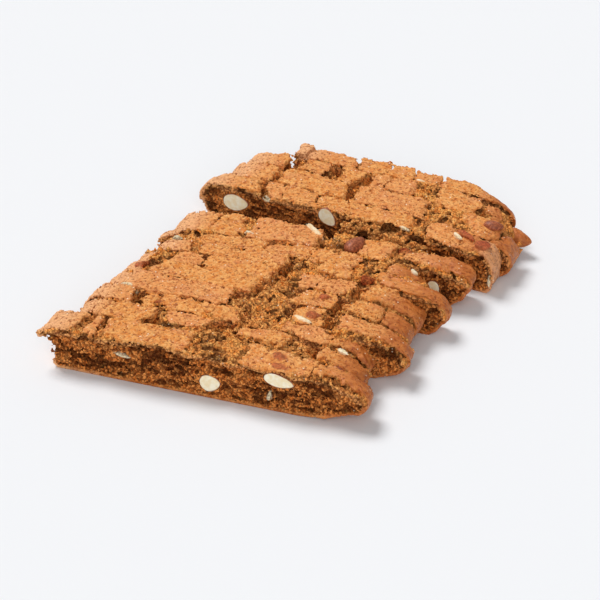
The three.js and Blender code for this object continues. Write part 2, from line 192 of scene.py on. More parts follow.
# ---- looks of the biscuit, in millimetres; slices are counted from 0 here --------
STEP = 0.4  # pitch of the grid that a slice is carved on
FACES_A_SLICE = 70000
FACES_OPEN_SLICE = 90000
OPEN_SLICES = (0, 9, 12)  # a whole cut face of these shows, so they get more faces
GRID_MARGIN = (2.8, 2.4)  # room that the grid has past the tips and past the cuts
GRID_HEIGHT = (-1.4, 29.0)
SECTION_STEP = 0.7  # pitch, margin and top of the map of a slice from the front
SECTION_MARGIN = 4.0
SECTION_TOP = 32.0
PLAN_STEP = 0.35  # pitch of the map of a slice from above
CRUST_THICK = 1.9  # crust over the crumb
UNDERCUT = 0.9  # how far crumb falls back under a crust edge
DEEPEST_WEAR = 4.2  # no pore or crease is carved deeper into the plain shape of a slice
HIGHEST_CHIP = 1.9  # no bit of almond or swell of the crust stands out further from it
VISUAL_GAP = 0.5  # widest knife cut that shows inside the row
TOUCH = 0.12  # how far pressed slices sink into each other's crumbs
JOINT = 1.7  # plates nearer than this meet in a hairline
HAIRLINE_DEPTH = 1.1
LEAST_DROP = 0.15  # crumb between plates never lies higher than this under the crust
FLAP = (-95.5, 16.0)  # left of this x the first slice is only crust over this z
LIP = {0: 0.9, 9: 0.4}  # how far crumb lies back under the crust of an open cut face
ROSY_ENDED = 9  # the slice whose right end is pale and rosy too
OPEN_CUTS = ((0, -1), (8, 1), (9, -1), (12, 1))  # (slice, side) where no neighbour touches
LEANING_CUT = (8, 1)  # stands open at its left and comes close to a neighbour at its right
# Wear of the plates' long edges, stray of their ends, and where the seams begin to close.
LOOKS_IN_FRONT = (3.2, 1.0, -0.35)
LOOKS_BEHIND = (2.0, 1.3, -0.75)
FAR = 99.0  # farther than any edge
FAINT = 0.02  # crumb or crust of a lesser share leaves the field alone
ALMOND_ROWS, ALMOND_AROUND = 28, 40  # faces along and around an almond

# ---- table, lights and camera --------
TABLE_HALF = 2.5
TABLE_WHITE = (0.825, 0.835, 0.855, 1)
WINDOW_FROM = (-0.62, 0.3, 1.1)  # high, behind and to the left, as in the photograph
FILL_FROM = (0.35, -0.85, 0.55)
CAMERA_AZIMUTH = 21.0
CAMERA_HEIGHT = 32.0  # degrees over the table
CAMERA_DISTANCE = 1000.0
FOCAL_PIXELS = 2000.0
FRAME_PIXELS = 600.0
CAMERA_TARGET = (0.0, 0.0, 10.0)


# ---- small functions --------
def clamp(v, lo, hi):
    return np.minimum(hi, np.maximum(lo, v))


def ramp(v, lo, hi):
    """0 below lo, 1 above hi, smooth between."""
    t = clamp((v - lo) / (hi - lo), 0, 1)
    return t * t * (3 - 2 * t)


def hashed(n):
    """A share from 0 to 1 for each number, the same as in the solids."""
    v = np.sin(n * 12.9898 + 4.1414) * 43758.5453
    return v - np.floor(v)


def wave(x, seed):
    """The one-way noise that places the slant of the cracks, the same as in the solids."""
    i = np.floor(x)
    t = x - i
    t = t * t * (3 - 2 * t)
    a = hashed(i + seed * 57)
    return (a + (hashed(i + 1 + seed * 57) - a) * t) * 2 - 1


# ---- noise --------
VOLUME = 96  # samples a side of the two repeating noise volumes
BUMPS = 24  # bumps a side of the smooth one
CELLS = 12  # grains a side of the other
TURNS = 8  # ways that a layer of noise can be turned


def turned_axes():
    """Seeded rotations, so that no two layers of noise line up."""
    rng = np.random.default_rng(5)
    return [np.linalg.qr(rng.normal(size=(3, 3)))[0].astype(np.float32) for _ in range(TURNS)]


def smooth_volume():
    """Repeating smooth noise from -1 to 1."""
    rng = np.random.default_rng(11)
    lattice = rng.uniform(-1, 1, (BUMPS, BUMPS, BUMPS))
    f = np.arange(VOLUME) * BUMPS / VOLUME
    i = f.astype(int)
    t = f - i
    t = t * t * (3 - 2 * t)
    j = (i + 1) % BUMPS
    for axis in range(3):
        shape = [1, 1, 1]
        shape[axis] = VOLUME
        w = t.reshape(shape)
        lattice = np.take(lattice, i, axis) * (1 - w) + np.take(lattice, j, axis) * w
    return lattice.astype(np.float32)


def grain_volume():
    """Distance to the nearest of a scatter of points: 0 in a grain, about 0.7 between grains."""
    rng = np.random.default_rng(23)
    scatter = rng.uniform(0.1, 0.9, (CELLS, CELLS, CELLS, 3))
    place = np.arange(VOLUME) * CELLS / VOLUME
    x, y, z = np.meshgrid(place, place, place, indexing="ij")
    i, j, k = (c.astype(int) for c in (x, y, z))
    nearest = np.full(x.shape, 9.0)
    for di, dj, dk in itertools.product((-1, 0, 1), repeat=3):
        p = scatter[(i + di) % CELLS, (j + dj) % CELLS, (k + dk) % CELLS]
        d = (p[..., 0] + i + di - x) ** 2 + (p[..., 1] + j + dj - y) ** 2
        nearest = np.minimum(nearest, d + (p[..., 2] + k + dk - z) ** 2)
    return np.sqrt(nearest).astype(np.float32)


AXES = turned_axes()
SMOOTH = smooth_volume()
GRAINS = grain_volume()


def sample(volume, points, spacing, seed):
    """A volume read at points, with one sample of it every spacing millimetres."""
    spacing = np.asarray(spacing, dtype=np.float32)
    q = (points / spacing) @ AXES[seed % TURNS] + np.float32(7.3 * seed)
    base = np.floor(q)
    fx, fy, fz = (q - base).T
    i = base.astype(np.int32) % VOLUME
    j = (i + 1) % VOLUME
    flat = volume.ravel()
    x0, x1 = i[:, 0] * (VOLUME * VOLUME), j[:, 0] * (VOLUME * VOLUME)
    y0, y1 = i[:, 1] * VOLUME, j[:, 1] * VOLUME
    z0, z1 = i[:, 2], j[:, 2]

    def along_x(y, z):
        low = flat[x0 + y + z]
        return low + (flat[x1 + y + z] - low) * fx

    def along_y(z):
        low = along_x(y0, z)
        return low + (along_x(y1, z) - low) * fy

    low = along_y(z0)
    return low + (along_y(z1) - low) * fz


def noise(points, size, seed):
    """Smooth noise from -1 to 1 with bumps of about the given size."""
    return sample(SMOOTH, points, np.asarray(size) / (VOLUME // BUMPS), seed)


def line_noise(xs, size, seed, number):
    """Smooth noise along x, different for each number."""
    line = np.stack([xs, np.full(xs.shape, 50.0 * number), 0 * xs], 1).astype(np.float32)
    return noise(line, size, seed)


def plane_noise(x, y, size, seed):
    """Smooth noise over a grid of places seen from above."""
    flat = np.stack([x.ravel(), y.ravel(), np.zeros(x.size)], 1).astype(np.float32)
    return noise(flat, size, seed).reshape(x.shape)


def grains(points, size, seed):
    """0 in the middle of a grain, 1 in the creases between grains of about the given size."""
    return clamp(sample(GRAINS, points, np.asarray(size) / (VOLUME // CELLS), seed) / 0.7, 0, 1.2)


def clods(x, y, size, seed):
    """Nearest of a scatter of points about size apart, and a random share for each."""
    i, j = np.floor(x / size), np.floor(y / size)
    best = np.full(x.shape, 1e9)
    cx, cy, share = np.zeros((3, *x.shape))
    for a, b in itertools.product((i - 1, i, i + 1), (j - 1, j, j + 1)):
        px = (a + hashed(a * 3.7 + b * 11.3 + seed)) * size
        py = (b + hashed(a * 7.9 + b * 5.1 + seed + 40)) * size
        d = (px - x) ** 2 + (py - y) ** 2
        near = d < best
        best = np.where(near, d, best)
        cx, cy = np.where(near, px, cx), np.where(near, py, cy)
        share = np.where(near, hashed(a * 2.3 + b * 9.7 + seed + 80), share)
    return cx, cy, share


# ---- outline of a slice --------
def cuts_of(k):
    """The cuts before and behind a slice, as (y at x = 0, slope)."""
    cuts, i = (FRONT_CUTS, k) if k < FRONT_ROWS else (BACK_CUTS, k - FRONT_ROWS)
    half = CUT_GAP / 2
    return (cuts[i][0] + half, cuts[i][1]), (cuts[i + 1][0] - half, cuts[i + 1][1])


def profile(end, crown, d):
    """Heights of the baked surface and of the base at d from the tip of an end."""
    tip, shoulder, heel, rise = end
    top = tip + (crown - tip) * np.sqrt(1 - (1 - clamp(d / shoulder, 0, 1)) ** 2.2)
    curl = 1 - np.sqrt(1 - (1 - clamp(d / min(CURL, heel), 0, 1)) ** 2)
    return top, rise * (1 - clamp(d / heel, 0, 1)) ** 1.2 + (tip - rise) * curl


def shell(spec, x):
    """Heights of the baked surface and of the base at x."""
    left, right = spec["tips"]
    crown = CRUST_TOP + spec["lift"] - ARCH * ((x - (left + right) / 2) / ARCH_SPAN) ** 2
    top_left, base_left = profile(spec.get("left", LEFT_END), crown, x - left)
    top_right, base_right = profile(spec.get("right", RIGHT_END), crown, right - x)
    return np.minimum(top_left, top_right), np.maximum(base_left, base_right)


def unslant(spec, seed, x, s):
    """The place along the uncut loaf of a point at x, the share s through the slice."""
    left, right = spec["tips"]
    hold = clamp((x - left) / 12, 0, 1) * clamp((right - x) / 12, 0, 1)
    taper = spec.get("end_taper", 0) * s * s * clamp((x - 30) / (right - 45), 0, 1)
    return x - CRACK_SLANT * wave(x / 16, seed + 11) * (s - 0.5) * hold + taper


def segment_distance(px, pz, chain):
    """Distance from points to a chain of straight pieces."""
    best = np.full(px.shape, 1e9)
    for (ax, az), (bx, bz) in zip(chain[:-1], chain[1:]):
        dx, dz = bx - ax, bz - az
        t = clamp(((px - ax) * dx + (pz - az) * dz) / (dx * dx + dz * dz), 0, 1)
        best = np.minimum(best, (px - ax - t * dx) ** 2 + (pz - az - t * dz) ** 2)
    return np.sqrt(best)


class Map:
    """Layers of values over a plane, read with straight blending between their places."""

    def __init__(self, layers, low, step):
        self.table = np.stack(layers, -1).astype(np.float32)
        self.low, self.step = low, step

    def __call__(self, a, b):
        n, m, count = self.table.shape
        u = clamp((a - self.low[0]) / self.step, 0, n - 1.001).astype(np.float32)
        v = clamp((b - self.low[1]) / self.step, 0, m - 1.001).astype(np.float32)
        i, j = u.astype(np.int32), v.astype(np.int32)
        u, v = (u - i)[:, None], (v - j)[:, None]
        t = self.table.reshape(-1, count)
        at = i * m + j
        low = t[at] * (1 - u) + t[at + m] * u
        return (low * (1 - v) + (t[at + 1] * (1 - u) + t[at + m + 1] * u) * v).T


def section_map(spec):
    """Depth under the whole outline of the section, and under its baked top alone."""
    left, right = spec["tips"]
    ends = np.array([0, 0.1, 0.3, 0.7, 1.3, 2.1, 3.2, 4.6, 6.4, 8.6, 11.4, 15, 19, 24])
    middle = np.linspace(left + ends[-1], right - ends[-1], 24)
    xs = np.unique(np.concatenate([left + ends, right - ends, middle]))
    top, bottom = shell(spec, xs)
    low = (left - SECTION_MARGIN, -SECTION_MARGIN)
    gx, gz = np.meshgrid(np.arange(low[0], right + SECTION_MARGIN + 0.5, SECTION_STEP),
                         np.arange(low[1], SECTION_TOP, SECTION_STEP), indexing="ij")
    near_top = segment_distance(gx, gz, list(zip(xs, top)))
    near_base = segment_distance(gx, gz, list(zip(xs, bottom)))
    top, bottom = shell(spec, clamp(gx, left, right))
    inside = (gx > left) & (gx < right) & (gz < top) & (gz > bottom)
    whole = np.where(inside, 1, -1) * np.minimum(near_top, near_base)
    under_top = np.where(inside | (gz < bottom), 1, -1) * near_top
    return Map([whole, under_top], low, SECTION_STEP)


def exposure(k, x, side):
    """1 where a cut face stands open, 0 where a neighbour stands close against it."""
    if (k, side) == LEANING_CUT:
        return ramp(-x, -40, 10)
    if (k, side) in OPEN_CUTS:
        return np.ones_like(x)
    left, right = SLICES[k + side]["tips"]
    return clamp(ramp(x, right - 9, right - 2) + ramp(-x, -left - 9, -left - 2), 0, 1)


# ---- crumb, crust and almonds --------
def crumb_relief(where, flaky):
    """How far broken crumb is worn back, and how deep in its pores each point lies."""
    patch = 0.55 + 0.75 * ramp(noise(where, (8.0, 8.0, 6.0), 0), -0.35, 0.3)
    lumps = grains(where, 2.8, 3) ** 2
    grit = grains(where, 1.3, 4) ** 2
    caves = 1.6 * ramp(noise(where, (5.0, 4.4, 4.0), 7), 0.26, 0.55)
    pores = 1.7 * ramp(noise(where, (2.6, 2.2, 1.8), 1), 0.2, 0.55)
    slits = 1.5 * ramp(noise(where, (6.0, 3.4, 1.5), 6), 0.12, 0.5) * flaky
    hollow = patch * (1.2 * lumps + 0.9 * grit) + pores + caves + slits
    return hollow + 0.7 * noise(where, (9.0, 7.0, 5.0), 2) - 1.15, hollow


def crust_relief(where, sleek):
    """How far baked crust is worn back, and the depth of the dimples and hairlines among that, which
    the material paints as shade.
    """
    grit = grains(where, 1.3, 4) ** 2
    pinholes = 1.1 * ramp(0.33 - grains(where, 3.0, 6), 0, 0.2)
    hairline = 0.9 * (1 - ramp(np.abs(noise(where, 6.0, 5)), 0.0, 0.06))
    hairline = hairline * ramp(noise(where, 12.0, 2), 0.25, 0.45)
    dimple_and_shade = (0.5 * grit + pinholes) * (1 - 0.75 * sleek) + hairline
    swell = 0.4 * noise(where, 8.0, 4) + 0.25 * noise(where, 3.6, 7)
    folds = np.abs(noise(where, (9.0, 5.0, 9.0), 6)) + 0.6 * np.abs(noise(where, (5.0, 2.6, 5.0), 1))
    return dimple_and_shade + swell - 0.25 + sleek * (0.9 * folds - 0.25), dimple_and_shade


def turned(a, b, degrees):
    """Offsets a and b seen from axes turned by an angle."""
    c, s = math.cos(math.radians(degrees)), math.sin(math.radians(degrees))
    return c * a + s * b, c * b - s * a


def almond_taper(t):
    """Breadth of an almond's outline at the share t from its middle to its pointed tip."""
    return 1 - 0.22 * t - 0.1 * t * t


def nut_distance(nut, x, z):
    """1 on the outline of a cut almond in its cut face, less inside it."""
    _name, _number, (ax, _inward, az), (length, width, _thick), turn, _cut = nut
    along, across = turned(x - ax, z - az, turn)
    taper = almond_taper(clamp(along / length, -1, 1))
    return np.hypot(along / length, across / width / taper)


def egg(offsets, sizes):
    """How far inside an almond-shaped body a point lies, in millimetres."""
    along, across, out = offsets
    length, width, thick = sizes
    taper = almond_taper(clamp(along / length, -1.6, 1.6))
    far = np.sqrt((along / length) ** 2 + (across / width / taper) ** 2 + (out / thick / taper) ** 2)
    return (1 - far) * min(width, thick)


def chip_depth(chip, x, v, z, flush):
    """How far inside a fused bit of almond a point lies, in millimetres."""
    _number, (ax, inward, az), sizes, turn, _skinned = chip
    if flush:
        along, across = turned(x - ax, z - az, turn)
        return np.minimum(egg((along, across, v - inward), sizes), v + 0.1)
    along, across = turned(x - ax, v - inward, turn)
    return egg((along, across, z - az), sizes)


# ---- a slice as a solid field --------
Plate = collections.namedtuple("Plate", "start stop front back meets_last meets_next")


def joined_plates(spec):
    """The plates of a slice, grown together where the gap between two is only a hairline."""
    rows = [list(row) + [0.0] * (5 - len(row)) for row in spec["plates"]]
    meets = [two[0] - one[1] < JOINT for one, two in zip(rows[:-1], rows[1:])]
    for one, two, met in zip(rows[:-1], rows[1:], meets):
        if met:
            one[1] = two[0] = (one[1] + two[0]) / 2
    return [Plate(row[0], row[1], row[3], row[4], last, following)
            for row, last, following in zip(rows, [False] + meets, meets + [False])]


class SliceField:
    """The solid field of one slice: negative inside, in millimetres."""

    def __init__(self, k):
        self.k = k
        self.number = k + 1
        self.spec = SLICES[k]
        self.front, self.back = cuts_of(k)
        self.wear, self.stray, self.loose = LOOKS_IN_FRONT if k < FRONT_ROWS else LOOKS_BEHIND
        self.plates = joined_plates(self.spec)
        self.nuts = [nut for nut in ALMONDS if nut[1] == self.number and nut[5]]
        self.chips = [(chip, False) for chip in CHIPS if chip[0] == self.number]
        self.chips += [(chip, True) for chip in FLUSH_CHIPS if chip[0] == self.number]
        self.bulges = [bulge for bulge in BULGES if bulge[0] == self.number]
        self.section = section_map(self.spec)
        self.plan = self.plan_map()

    def thickness(self, x):
        return (self.back[0] - self.front[0]) + (self.back[1] - self.front[1]) * x

    def behind_front(self, x, y):
        return y - self.front[0] - self.front[1] * x

    def along_loaf(self, x, y):
        """Place along x of a point of the crust, with cracks slanted and ragged."""
        v = self.behind_front(x, y)
        wander = 2.8 * plane_noise(x, y, 13.0, 1) + 1.9 * plane_noise(x, y, 5.5, 6)
        wander = wander + 0.9 * plane_noise(x, y, 2.6, 3)
        local = unslant(self.spec, self.number, x, clamp(v / self.thickness(x), 0, 1))
        return local + wander * self.stray

    def plate_edge(self, x, y):
        """How far (x, y) lies inside its crust plate, which plate that is, and how near a joint."""
        v = self.behind_front(x, y)
        close, crumble = plane_noise(x, y, 3.5, 6), plane_noise(x, y, 6.0, 2)
        local = self.along_loaf(x, y)
        edge = np.full(x.shape, -9.0)
        nearest = np.full(x.shape, -FAR)
        joint = np.full(x.shape, 9.0)
        which = np.zeros(x.shape, dtype=int)
        for i, plate in enumerate(self.plates):
            along = self.inside_ends(i, local, x, y)
            across = self.inside_cuts(plate, (v, self.thickness(x) - v), close, crumble)
            if plate.meets_next:
                joint = np.minimum(joint, np.abs(local - plate.stop))
            pick = along > nearest
            nearest = np.where(pick, along, nearest)
            which = np.where(pick, i, which)
            corner = clamp(3.2 - along, 0, 9) * clamp(3.2 - across, 0, 9)
            corner = corner * (0.08 + 0.34 * clamp(crumble, 0, 1))
            edge = np.maximum(edge, np.minimum(along, across) - clamp(corner, 0, 2.6))
        return edge, which, joint

    def inside_ends(self, i, local, x, y):
        """How far inside the two ends of a plate; an end at a tip of the slice isn't broken."""
        plate = self.plates[i]
        left, right = self.spec["tips"]
        whole_left = plate.start <= left + 0.5 and self.spec.get("left") is not BROKEN_END
        start = FAR if whole_left else local - plate.start
        stop = FAR if plate.stop >= right - 0.5 else plate.stop - local
        if not plate.meets_last:
            start = start + 1.3 * plane_noise(x, y, 6.5, (2 * i + 5) % TURNS)
        if not plate.meets_next:
            stop = stop + 1.3 * plane_noise(x, y, 6.5, 2 * i % TURNS)
        return np.minimum(start, stop)

    def inside_cuts(self, plate, depths, close, crumble):
        """How far inside the long edges of a plate, broken back from the cuts beside it."""
        inside = FAR
        for depth, setback, side in zip(depths, (plate.front, plate.back), (1, -1)):
            worn = setback + self.wear * clamp(crumble * side + 0.1, 0, 1)
            ragged = 0.9 * close * ramp(worn, 0.1, 1)
            inside = np.minimum(inside, depth - worn - ragged + 2.5 * (1 - ramp(worn, 0.05, 0.5)))
        return inside

    def plan_map(self):
        """The slice from above: plate edges, rise, depth of crumb, tone, and the seam of each cut."""
        left, right = self.spec["tips"]
        low = (left - 2.0, -2.0)
        xs = np.arange(low[0], right + 2.4, PLAN_STEP)
        x, v = np.meshgrid(xs, np.arange(low[1], 24.0, PLAN_STEP), indexing="ij")
        y = v + self.front[0] + self.front[1] * x
        plain, which, joint = self.plate_edge(x, y)
        cx, cy, share = clods(x, y, 2.3, 3)
        broken = self.plate_edge(cx, cy)[0]
        edge = np.where(np.abs(plain) < 3, 0.3 * plain + 0.7 * broken, plain)
        floor = self.crumb_floor(x, y, plain, share)
        depth = np.where(joint < edge, HAIRLINE_DEPTH, np.maximum(floor, LEAST_DROP))
        rise, tone = self.plate_rise(x, y, v, edge, which)
        layers = [np.minimum(edge, joint - 0.3), rise, depth, tone]
        for side in (-1, 1):
            layers += [np.repeat(row[:, None], x.shape[1], 1) for row in self.seam(xs, side)]
        return Map(layers, low, PLAN_STEP)

    def crumb_floor(self, x, y, inside, share):
        """How deep the crumb lies: in clods of two sizes, in broken edges and in the cracks."""
        near_x, near_y = x + 0.8 * plane_noise(x, y, 3.0, 4), y + 0.8 * plane_noise(x, y, 3.0, 7)
        _cx, _cy, clod = clods(near_x, near_y, 4.2, 9)
        floor = CRUMB_DROP * 0.35 + 1.1 * plane_noise(x, y, 9.0, 5) + 0.8 * plane_noise(x, y, 4.0, 3)
        floor += 0.9 * (share - 0.5) + 1.8 * (clod - 0.5)
        broken = ramp(plane_noise(x, y, 7.0, 0), -0.4, 0.4)
        floor += (1 - ramp(-inside, 0.2, 2.0)) * broken
        unfilled = 0.3 + 0.7 * ramp(plane_noise(x, y, 8.0, 2), -0.45, 0.3)
        local = self.along_loaf(x, y)
        for start, stop, deep in self.spec["cracks"]:
            crack = ramp(np.minimum(local - start, stop - local), -0.8, 0.8)
            floor += np.maximum(deep * unfilled - floor, 0) * crack
        return floor

    def plate_rise(self, x, y, v, edge, which):
        """How far the crust stands over its usual height, tilted plates included, and its tone."""
        rows = self.spec["plates"]
        count = np.arange(len(rows))
        rises = np.array([row[2] for row in rows])
        tones = hashed(count * 7.1 + self.k * 3.3)
        tilts = 2 * hashed(count * 5.3 + self.k * 2.9) - 1
        tilts *= [PRESSED not in row[3:5] for row in rows]
        middle = v / np.maximum(self.thickness(x), 1) - 0.5
        worn_edge = ramp(plane_noise(x, y, 5.0, 7), -0.3, 0.5)
        rise = (rises + 0.3 * tilts)[which] * ramp(edge, -1.5, 1.0) + 0.7 * plane_noise(x, y, 13.0, 6)
        rise += 1.1 * tilts[which] * middle
        rise -= (0.1 + 0.7 * worn_edge) * (1 - ramp(edge, 0, 0.7 + 1.8 * worn_edge))
        return rise, tones[which]

    def seam(self, xs, side):
        """How tightly the neighbour is pressed on along a cut, and how ragged the cut is."""
        end = (side + 1) // 2
        tight = ramp(line_noise(xs, 9.0, 4, self.k + end), self.loose, self.loose + 0.45)
        for row in self.spec["plates"]:
            if len(row) > 3 and row[3 + end] <= PRESSED:
                tight = np.maximum(tight, ramp(np.minimum(xs - row[0], row[1] - xs), -3, 0))
        ragged = 1.3 * line_noise(xs, 8.0, 2, self.k + end) + 0.6 * line_noise(xs, 2.8, 3, self.k + end)
        return tight, ragged * (0.0 if (self.k, side) in OPEN_CUTS else 1.0)

    def measure(self, points):
        """Field without the fine crumb, and the facts that the crumb and the colours need."""
        x, v, z = points.T
        t = self.thickness(x)
        local = unslant(self.spec, self.number, x, clamp(v / t, 0, 1))
        edge, rise, depth, tone, *seams = self.plan(x, v)
        whole, under = self.section(local, z)
        lift = rise * ramp(z, 4, 12)
        under = under + lift
        undercut = UNDERCUT * ramp(under, CRUST_THICK * 0.6, CRUST_THICK * 1.6)
        void = np.maximum(edge - undercut, under - depth * ramp(z, 5, 12))
        body = np.maximum(-whole - lift, -void)
        if self.k == 0:
            body = np.maximum(body, np.minimum(FLAP[0] - x, FLAP[1] - z))
        near_top = 0.3 + 0.7 * (1 - ramp(under, 2, 8))
        lip = self.lip(x, z, under)
        cut, bare = self.past_cuts(x, ((-1, -v, *seams[:2]), (1, v - t, *seams[2:])), near_top, lip)
        m = dict(field=np.maximum(body, cut), under=under, edge=edge, cut=cut, bare=bare, body=body,
                 tone=tone, sole=whole, open=np.maximum(cut, -void))
        self.add_bulges(m, x, v, z)
        return m

    def past_cuts(self, x, cuts, near_top, lip):
        """How far past the nearer knife cut a point lies, and how open that cut stands."""
        pasts, shares = [], []
        for side, past, tight, ragged in cuts:
            bare = exposure(self.k, x, side)
            gap = VISUAL_GAP * np.maximum(1 - tight, bare)
            pasts.append(past - side * ragged * near_top - (CUT_GAP / 2 + TOUCH) + gap + bare * lip)
            shares.append(bare)
        return np.maximum(*pasts), np.where(pasts[0] > pasts[1], *shares)

    def add_bulges(self, m, x, v, z):
        """Adds the bits that stick out past a cut or an end."""
        for _number, (mx, mv, mz), (length, height, thick), baked in self.bulges:
            inside = egg((x - mx, z - mz, v - mv), (length, height, thick))
            out = -inside < m["field"]
            m["field"] = np.minimum(m["field"], -inside)
            under, edge = (inside, 1.0) if baked else (2.0, -9.0)
            for fact, value in (("under", under), ("edge", edge), ("cut", -9.0), ("open", -inside)):
                m[fact] = np.where(out, value, m[fact])

    def lip(self, x, z, under):
        """How far an open cut face lies back under its crust; cut almonds stay flush."""
        groove = ramp(line_noise(x, 13.0, 6, self.k), -0.5, 0.3) * (1 - ramp(under, 5.5, 9.5))
        if self.k == 0:
            groove *= ramp(x, -88, -78) * (1 - 0.9 * ramp(x, -15, 20))
        back = LIP.get(self.k, 1.0) * (1 + 2.0 * groove) * ramp(under, 2.4, 4.2)
        for nut in self.nuts:
            back = back * ramp(nut_distance(nut, x, z), 1.1, 1.7)
        return back

    def baked_share(self, m, x):
        """1 on crust and on the baked base, 0 on crumb."""
        top = (1 - ramp(m["under"], 0.5, 1.5)) * ramp(m["edge"], -0.9, 0.2)
        sole = (1 - ramp(m["sole"], 0.9, 2.1)) * ramp(m["under"] - m["sole"], 0.5, 1.5)
        if self.spec.get("left") is BROKEN_END:
            sole *= ramp(x - self.spec["tips"][0], 3, 5)
        return np.maximum(top, sole)

    def crumb_share(self, m, x, z):
        """1 where crumb stands open, less in a closed cut, on a cut almond and low down."""
        crumby = (1 - m["baked"]) * ramp(z, 0.2, 1.6) * ramp(m["open"], -4.0, -2.5)
        crumby *= 1 - m["face"] * (1 - np.maximum(m["bare"], 1 - ramp(m["under"], 2.5, 5)))
        for nut in self.nuts:
            crumby *= 0.3 + 0.7 * ramp(nut_distance(nut, x, z), 1.0, 1.5)
        return crumby

    def worn_down(self, m, where, x, z):
        """How far crumb and crust are worn back; notes the depth of their hollows and dimples, which
        the material paints as shade.
        """
        crumby = self.crumb_share(m, x, z)
        worn, m["hollow"], m["dimple_and_shade"] = np.zeros((3, len(x)), dtype=np.float32)
        at = np.flatnonzero(crumby > FAINT)
        relief, depth = crumb_relief(where[at], (m["face"] * m["bare"])[at])
        worn[at] = crumby[at] * relief
        m["hollow"][at] = crumby[at] * depth
        at = np.flatnonzero(m["baked"] > FAINT)
        relief, depth = crust_relief(where[at], m["sleek"][at])
        worn[at] += m["baked"][at] * relief * ramp(z[at], 0.2, 2.0)
        m["dimple_and_shade"][at] = m["baked"][at] * depth
        return worn

    def carve(self, points):
        """Field with crumb, pores and grain, and the facts that the colours need."""
        m = self.measure(points)
        x, v, z = points.T
        where = points.copy()
        where[:, 1] += self.front[0] + self.front[1] * x
        m["baked"] = self.baked_share(m, x)
        m["face"] = ramp(m["cut"] - m["body"], -0.6, 0.4)
        reach = self.spec.get("sleek", 12)
        m["sleek"] = 1 - ramp(self.spec["tips"][1] - x, reach - 6, reach + 2)
        worn = self.worn_down(m, where, x, z)
        field = m["field"] + worn
        for nut in self.nuts:
            recess = (1 - nut_distance(nut, x, z)) * min(nut[3])
            field = np.where(v < 1.5, np.maximum(field, recess), field)
        m["cutface"] = ramp(m["cut"] - m["body"] - worn, -1.4, 0.2) * ramp(m["under"], 0.8, 2.4)
        self.add_chips(m, field, points, where)
        return field, m

    def add_chips(self, m, field, points, where):
        """Fuses the bits of almond on, and marks where their kernel and their skin show."""
        x, v, z = points.T
        m["kernel"], m["skin"] = np.zeros((2, len(x)), dtype=np.float32)
        for chip, flush in self.chips:
            _number, (ax, inward, _az), sizes, _turn, skinned = chip
            at = np.flatnonzero(np.hypot(x - ax, v - inward) < sizes[0] + 2)
            depth = chip_depth(chip, x[at], v[at], z[at], flush)
            depth += 0.35 * noise(where[at], 2.0, 3) + 0.35 * noise(where[at], 4.0, 6)
            if (self.k, 1) not in OPEN_CUTS:
                depth = np.minimum(depth, self.thickness(x[at]) - v[at] + 0.1)
            field[at] = np.minimum(field[at], -depth)
            shade = m["skin"] if skinned else m["kernel"]
            shade[at] = np.maximum(shade[at], ramp(depth, -0.25, 0.1))


# ---- from fields to meshes --------
CORNERS = np.array(list(itertools.product((0, 1), repeat=3)))
EDGES = [(a, b) for a, b in itertools.combinations(range(8), 2)
         if np.abs(CORNERS[a] - CORNERS[b]).sum() == 1]


def grid_points(field):
    """Places along x, behind the front cut and up that the grid of a slice is made of."""
    left, right = field.spec["tips"]
    boxes = [((left, 0.0), (right, max(field.thickness(left), field.thickness(right))))]
    for _number, (mx, mv, _mz), (length, _height, thick), _baked in field.bulges:
        boxes.append(((mx - length, mv - thick), (mx + length, mv + thick)))
    low = np.min([box[0] for box in boxes], axis=0) - GRID_MARGIN
    high = np.max([box[1] for box in boxes], axis=0) + GRID_MARGIN
    return [np.arange(a, b, STEP) for a, b in ((low[0], high[0]), (low[1], high[1]), GRID_HEIGHT)]


def crossings(values, cells):
    """Middle of the points where the surface crosses the edges of each cell, in cells."""
    total, hits = np.zeros((len(cells), 3)), np.zeros(len(cells))
    at = [values[tuple((cells + c).T)] for c in CORNERS]
    for a, b in EDGES:
        crossed = (at[a] < 0) != (at[b] < 0)
        fa, fb = at[a][crossed], at[b][crossed]
        t = (fa / (fa - fb))[:, None]
        total[crossed] += CORNERS[a] + t * (CORNERS[b] - CORNERS[a])
        hits[crossed] += 1
    return cells + total / hits[:, None]


def quads_along(axis, inside, index):
    """Faces across the grid lines along an axis, where those enter or leave the solid."""
    n = np.array(index.shape)
    b, c = (axis + 1) % 3, (axis + 2) % 3
    here = np.take(inside, range(0, n[axis]), axis)
    beyond = np.take(inside, range(1, n[axis] + 1), axis)
    quads = []
    for crossed, turn in ((here & ~beyond, 1), (~here & beyond, -1)):
        e = np.argwhere(crossed)
        e = e[(e[:, b] > 0) & (e[:, c] > 0) & (e[:, b] < n[b]) & (e[:, c] < n[c])]
        ring = []
        for db, dc in ((-1, -1), (0, -1), (0, 0), (-1, 0)):
            q = e.copy()
            q[:, b] += db
            q[:, c] += dc
            ring.append(index[tuple(q.T)])
        quads.append(np.stack(ring, 1)[:, ::turn])
    return quads


def skin_of(values, low, step):
    """Meshes the zero level of a grid of values with one point a crossed cell."""
    inside = values < 0
    n = np.array(values.shape) - 1
    count = np.zeros(n, dtype=np.int8)
    for i, j, k in CORNERS:
        count += inside[i:i + n[0], j:j + n[1], k:k + n[2]]
    cells = np.argwhere((count > 0) & (count < 8))
    index = np.full(n, -1, dtype=np.int64)
    index[tuple(cells.T)] = np.arange(len(cells))
    quads = [quad for axis in range(3) for quad in quads_along(axis, inside, index)]
    return low + crossings(values, cells) * step, np.concatenate(quads)


